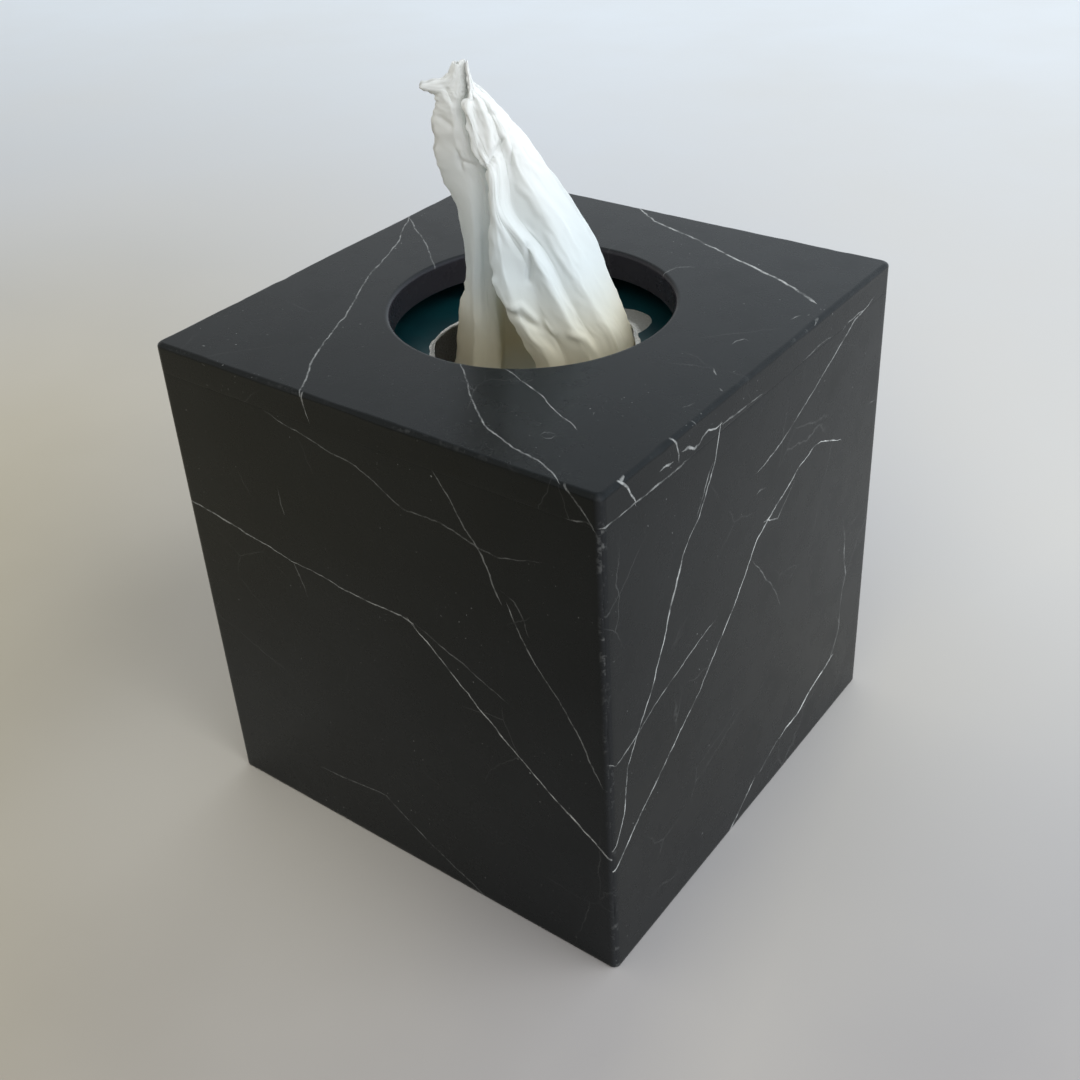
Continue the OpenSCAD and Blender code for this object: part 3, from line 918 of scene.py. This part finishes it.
def tissue_sheet(name):
    """The drawn-out tissue: a sheet smoothed through its folds, creased, frayed and two-ply."""
    lines = fold_lines()
    down = smooth_through(lines.transpose(1, 0, 2), DOWN_STEPS, DOWN_ROUND)
    grid = smooth_through(down.transpose(1, 0, 2), ACROSS_STEPS, FOLD_ROUND).transpose(1, 0, 2)
    rows, columns = grid.shape[:2]
    normal = np.cross(np.gradient(grid, axis=1), np.gradient(grid, axis=0))
    normal /= np.maximum(np.linalg.norm(normal, axis=2, keepdims=True), 1e-9)
    per_line = ACROSS_STEPS / (len(lines) - 1)
    front_end = int(per_line * (len(FRONT) - 1))
    strip_first = len(FRONT) + len(BACK_FOLDS)
    strip_start = int(per_line * strip_first)
    strip_end = int(per_line * (strip_first + len(STRIP) - 1)) + 1
    pixels = photo_pixel(grid)
    lift = np.zeros((rows, columns))
    lift[:, :front_end] += crease_height(pixels[:, :front_end], FRONT_CREASES)
    strip = slice(strip_start, strip_end)
    lift[:, strip] += crease_height(pixels[:, strip], STRIP_CREASES)
    facing = np.sign(normal[:, :, 1:2])
    facing[:, front_end:strip_start] = 1
    for r in range(rows):
        v = r / (rows - 1)
        calm = min(1, v * 5 + 0.25)
        for c in range(columns):
            rest = BACK_CRUMPLE if front_end <= c < strip_start else 1
            lift[r, c] += crumple(c / (columns - 1), v) * calm * rest
    grid += normal * facing * lift[:, :, None]
    # Ragged tip, free edge and left fold with its ear
    fade = 1 - np.arange(TIP_ROWS) / TIP_ROWS
    grid[:TIP_ROWS, :, 2] += fade[:, None] * fray(columns, (0.9, 9, 31), (0.5, 3, 33))
    fade = 1 - np.arange(FRAY_COLUMNS) / FRAY_COLUMNS
    worn = 1 + 1.6 * np.maximum(0, np.arange(rows) / rows - 0.4)
    edge = fray(rows, (0.55, 8, 35), (0.35, 3, 37)) * worn
    grid[:, :FRAY_COLUMNS, 0] += edge[:, None] * fade
    fade = np.concatenate([fade[:0:-1], fade])
    fold = slice(strip_start - FRAY_COLUMNS + 1, strip_start + FRAY_COLUMNS)
    grid[:, fold, 0] += fray(rows, (0.8, 7, 39), (0.5, 3, 43))[:, None] * fade
    grid[:EAR_ROWS, fold, 2] += fray(EAR_ROWS, (1.1, 4, 45))[:, None] * fade
    points = sheet_world(grid.reshape(-1, 3))
    made = mesh_object(name, [tuple(p) for p in points], band_faces(rows, columns), sharp=180)
    thick = made.modifiers.new("plies", "SOLIDIFY")
    thick.thickness = SHEET_T * MM
    thick.offset = 0
    return made


PAPER_PAINTED_LIGHT = colour(254, 255, 254)
PAPER_COOL = colour(238, 245, 247)
PAPER_DULL = colour(233, 240, 242)
PAPER_PAINTED_WARM_SHADE = colour(228, 220, 194)
PAPER_LIT = colour(247, 248, 245)
PAPER_SPECULAR = 0.15
LIGHT_THROUGH = 0.38
# Heights in mm: painted light whitens the paper from the first to the second, and a warm painted
# shade dims it below the third
PAINTED_LIGHT_FROM, PAINTED_LIGHT_FULL, PAINTED_SHADE_FROM = 152, 188, 154


def tissue_paper():
    """Thin white paper that lets light through, with painted light towards the tip and a warm, dim
    painted shade near the card.
    """
    tree = Tree("tissue_paper")
    place = tree.place()
    tone = tree.clouds(place, 14, 0.3, 0.7, detail=3)
    height = tree.axes(place)[2]
    # Warm painted shade low down near the card, fading into the pack
    low = tree.spread(height, PAINTED_SHADE_FROM, CARTON_H, smooth=True)
    low = tree.times(low, tree.spread(height, STACK_TOP, CARTON_H, 0.3))
    # Painted light: the paper whitens towards the tip
    high = tree.spread(height, PAINTED_LIGHT_FROM, PAINTED_LIGHT_FULL, smooth=True)
    shade = tree.layers(PAPER_COOL, (tone, PAPER_DULL), (high, PAPER_PAINTED_LIGHT), (low, PAPER_PAINTED_WARM_SHADE))
    tree.set(Base_Color=shade, Specular_IOR_Level=PAPER_SPECULAR,
             Roughness=tree.spread(tone, 0, 1, 0.85, 0.95))
    long_place = tree.vector("MULTIPLY", place, (1, 1, 3))
    crepe = tree.times(tree.noise(long_place, 0.45, 2, 0.6), 0.25)
    tree.bump(tree.math("ADD", crepe, tree.noise(place, 2.2, 3, 0.6)), 0.32, 0.22)
    # The light through the paper takes the same warm painted shade near the card
    lit = tree.node("BsdfTranslucent", {"Color": tree.mix(low, PAPER_LIT, PAPER_PAINTED_WARM_SHADE)})
    inputs = {0: LIGHT_THROUGH, 1: tree.shader.outputs[0], 2: lit.outputs[0]}
    both = tree.node("MixShader", inputs).outputs[0]
    tree.put(tree.nodes["Material Output"].inputs["Surface"], both)
    return tree.owner


# Pack of tissues, bent over into two legs

PACK_ROWS = 61
PACK_STEPS = (10, 24, 24)
# The folded edge of a leaf on the top: its place, its wander and its height
LEAF_X, LEAF_WANDER, LEAF_STEP = 9, 2, 0.6
LEAF_SIZE = 1.1
LEAF_WHITE = colour(246, 246, 243)
LEAF_DULL = colour(236, 236, 232)
LEAF_SHADE = colour(206, 205, 200)


def arch_top(x):
    """Height of the bent pack's top at a distance from its middle."""
    past = max(0, abs(x) - (STACK_W / 2 - SHOULDER_R))
    return STACK_TOP - SHOULDER_R + math.sqrt(SHOULDER_R ** 2 - past ** 2)


def pack_outline(half, top, r):
    """Points of a round-topped outline from its left foot over the top to its right foot."""
    legs, arcs, flat = PACK_STEPS
    left = [(-half, z) for z in [STACK_FOOT, *between(STACK_FOOT, top - r, legs)[:-1]]]
    left += [(r - half - r * math.cos(t), top - r + r * math.sin(t))
             for t in [0, *quarter(arcs)[:-1]]]
    top_line = [(x, top) for x in [r - half, *between(r - half, half - r, flat)]]
    return left + top_line + [(-x, z) for x, z in reversed(left)]


def tissue_pack(name):
    """Soft pack with a sagging top, and a leaf's folded edge across it."""
    outer = pack_outline(STACK_W / 2, STACK_TOP, SHOULDER_R)
    inner = pack_outline(LEG_GAP / 2, STACK_TOP - (STACK_W - LEG_GAP) / 2, LEG_GAP / 2)
    points = []
    for k in range(PACK_ROWS):
        y = STACK_W * (k / (PACK_ROWS - 1) - 0.5)
        leaf = LEAF_X + LEAF_WANDER * wave(0, y, 0, 30, 55)
        for i, (x, z) in enumerate(outer):
            before, after = outer[max(0, i - 1)], outer[min(len(outer) - 1, i + 1)]
            out = Vector((before[1] - after[1], after[0] - before[0])).normalized()
            sag = 0.35 + 0.3 * wave(x, y, z, 16, 51) + 0.12 * wave(x, y, z, 4, 53)
            sag += LEAF_STEP if x > leaf else 0
            points.append((x - out.x * sag, y, max(STACK_FOOT, z - out.y * sag)))
        points += [(x, y, z) for x, z in reversed(inner)]
    half = len(outer)
    n = 2 * half
    faces = band_faces(PACK_ROWS, n, closed_columns=True)
    for start in (0, (PACK_ROWS - 1) * n):
        end = start + n - 1
        faces += [(start + i, start + i + 1, end - 1 - i, end - i) for i in range(half - 1)]
    return mesh_object(name, points, faces, sharp=50)


def stack_paper():
    """Soft white leaves, with thin shaded lines where leaf lies on leaf."""
    tree = Tree("stack_paper")
    place = tree.place()
    soft = tree.clouds(place, 9, 0.3, 0.7, detail=3)
    long_place = tree.vector("MULTIPLY", place, (0.12, 1, 1))
    leaf = tree.noise(long_place, LEAF_SIZE, 2, 0.6)
    line = tree.spread(leaf, 0.55, 0.7, 0, 0.35)
    shade = tree.layers(LEAF_WHITE, (soft, LEAF_DULL), (line, LEAF_SHADE))
    tree.set(Base_Color=shade, Roughness=tree.spread(soft, 0, 1, 0.85, 0.95))
    tree.bump(leaf, 0.25, 0.2)
    return tree.owner


# Stage

FLOOR_SIDE = 4000
# Floor colours: the floor is pale, and these colours add painted light and shade to it. Only the
# mottle is the floor's own tone.
FLOOR_NEAR_PAINTED_SHADE = colour(155, 150, 149)
FLOOR_FAR_PAINTED_LIGHT = colour(231, 238, 245)
FLOOR_LEFT_PAINTED_SHADOW = colour(180, 168, 136)
FLOOR_BEHIND_PAINTED_LIGHT = colour(211, 209, 205)
FLOOR_FOOT_PAINTED_LIGHT = colour(204, 198, 186)
FLOOR_RIGHT_PAINTED_SHADE = colour(137, 131, 129)
FLOOR_MOTTLE = colour(206, 200, 190)


def floor_material():
    """A pale floor with painted light and shade: painted light cooler and lighter far off, a warm
    painted shadow at the left, painted shade at the front right, and painted light behind the box
    and by its foot.
    """
    tree = Tree("floor_pale")
    place = tree.place()

    def along(x, y, low, high, to_low=0, to_high=1, smooth=True):
        """A tone that changes with the distance along a way on the floor, in mm."""
        return tree.spread(tree.dot(place, (x, y, 0)), low, high, to_low, to_high, smooth)

    # Painted light and shade: from a dim painted shade near the camera to a cool painted light far
    # off
    away = along(-0.25, 0.97, -350, 1100)
    near = tree.math("SUBTRACT", 1, away)
    # Warm painted shadow on the floor at the box's left, fading towards the back left and far off
    left = along(-0.8, -0.6, -20, 260, 0, 0.85)
    left = tree.times(left, along(-0.8, 0.6, 260, 560, 1, 0.25, smooth=False))
    # Painted light on the floor behind the box at the right
    behind = along(0.8, 0.6, 60, 200)
    behind = tree.times(behind, along(0.97, -0.25, 50, 150, 1, 0.2, smooth=False))
    # Painted shade on the floor at the front right
    right = along(0.55, -0.83, 60, 330, 0, 0.6)
    # Painted light that lifts the box's contact shadow by its foot, at the front left and at the
    # right
    off = tree.vector("SUBTRACT", tree.vector("ABSOLUTE", place), (HALF, HALF, 0))
    off = tree.vector("LENGTH", tree.vector("MAXIMUM", off, (0, 0, 0)), out="Value")
    foot = tree.spread(off, 0, 90, 0.75, 0, smooth=True)
    side = along(1, 0.2, 60, 90, 0, 0.55, smooth=False)
    foot = tree.times(foot, tree.largest(along(-0.9, -0.44, -10, 70), side))
    mottle = tree.clouds(place, 160, 0.3, 0.7, detail=4, rough=0.55)
    shade = tree.layers(FLOOR_NEAR_PAINTED_SHADE, (away, FLOOR_FAR_PAINTED_LIGHT), (tree.times(left, near), FLOOR_LEFT_PAINTED_SHADOW),
                        (tree.times(behind, near), FLOOR_BEHIND_PAINTED_LIGHT), (foot, FLOOR_FOOT_PAINTED_LIGHT),
                        (tree.times(right, near), FLOOR_RIGHT_PAINTED_SHADE),
                        (tree.times(mottle, 0.2), FLOOR_MOTTLE))
    tree.set(Base_Color=shade, Roughness=tree.spread(mottle, 0, 1, 0.7, 0.85))
    return tree.owner


def make_floor():
    s = FLOOR_SIDE
    floor = mesh_object("floor", [(-s, -s, 0), (s, -s, 0), (s, s, 0), (-s, s, 0)], [(0, 1, 2, 3)])
    floor.data.materials.append(floor_material())


WORLD_DIM = (0.31, 0.30, 0.28, 1)
WORLD_BRIGHT = (0.88, 0.96, 1.04, 1)
WORLD_FILL = (0.26, 0.255, 0.24, 1)
WORLD_STRENGTH = 1.34
BRIGHT_WAY = (0.68, 0.71, 0.12)
FILL_WAY = (-0.4, -0.9, 0.15)


def make_world():
    """A pale room, brightest at the back right, with a warm fill from the front left."""
    tree = Tree("studio", bpy.data.worlds.new("studio"))
    bpy.context.scene.world = tree.owner
    way = tree.node("TexCoord", {}).outputs["Generated"]
    bright = tree.spread(tree.dot(way, BRIGHT_WAY), -0.38, 0.75)
    fill = tree.spread(tree.dot(way, FILL_WAY), 0.1, 0.8)
    room = tree.mix(fill, tree.mix(bright, WORLD_DIM, WORLD_BRIGHT), WORLD_FILL, "ADD")
    tree.set(Color=room, Strength=WORLD_STRENGTH)


# The window: its place, what it faces and its size in metres, its power in watts and its tint
WINDOW_PLACE = Vector((1.35, 0.28, 1))
WINDOW_AIM = Vector((0, 0, 0.12))
WINDOW_SIZE = (1.8, 1.4)
WINDOW_POWER = 18
WINDOW_TINT = (0.97, 0.985, 1)


def make_window():
    data = bpy.data.lights.new("window", "AREA")
    data.shape = "RECTANGLE"
    data.size, data.size_y = WINDOW_SIZE
    data.energy = WINDOW_POWER
    data.color = WINDOW_TINT
    lamp = placed("window", data)
    lamp.location = WINDOW_PLACE
    lamp.rotation_euler = (WINDOW_AIM - WINDOW_PLACE).to_track_quat("-Z", "Y").to_euler()
    lamp.visible_glossy = False


def dress(piece, node, slot, *materials):
    for material in materials:
        piece.data.materials.append(material)
    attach(piece, "root")
    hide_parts(node)


def make_stone():
    x, y, z = Matrix.Identity(3)
    top = seen_face(TOP_VEINS, z, COVER_H)
    sides = [("front", seen_face(FRONT_VEINS, -y, HALF), 11),
             ("right", seen_face(RIGHT_VEINS, x, HALF), 19),
             ("back", drawn_face(BACK_VEINS, -x, y, HALF), 29),
             ("left", drawn_face(LEFT_VEINS, -y, -x, HALF), 37)]
    # The top slab's own sides carry on those veins of the side slabs that run up into it
    over = [([v for v in veins if max(p.z for p, _ in v[1]) > SIDE_H - 1], normal, reach)
            for _, (veins, normal, reach), _ in sides]
    dress(top_stone("top_stone"), "top_slab", "marble", marble("marble_top", [top, *over], 3))
    for turns, (name, face, seed) in enumerate(sides):
        stone = side_stone(f"{name}_stone", turns)
        dress(stone, f"{name}_slab", "marble", marble(f"marble_{name}", [face], seed))


def make_tissues():
    dress(tissue_pack("tissue_pack"), "tissue_stack", "tissue", stack_paper())
    sheet = tissue_sheet("tissue_sheet")
    dress(sheet, "pulled_tissue", "tissue", tissue_paper())


bpy.context.scene.view_settings.view_transform = "Standard"
make_camera()
make_world()
make_window()
make_floor()
make_stone()
dress(carton_box("carton_card"), "carton", "card", printed_card(), bare_card())
make_tissues()
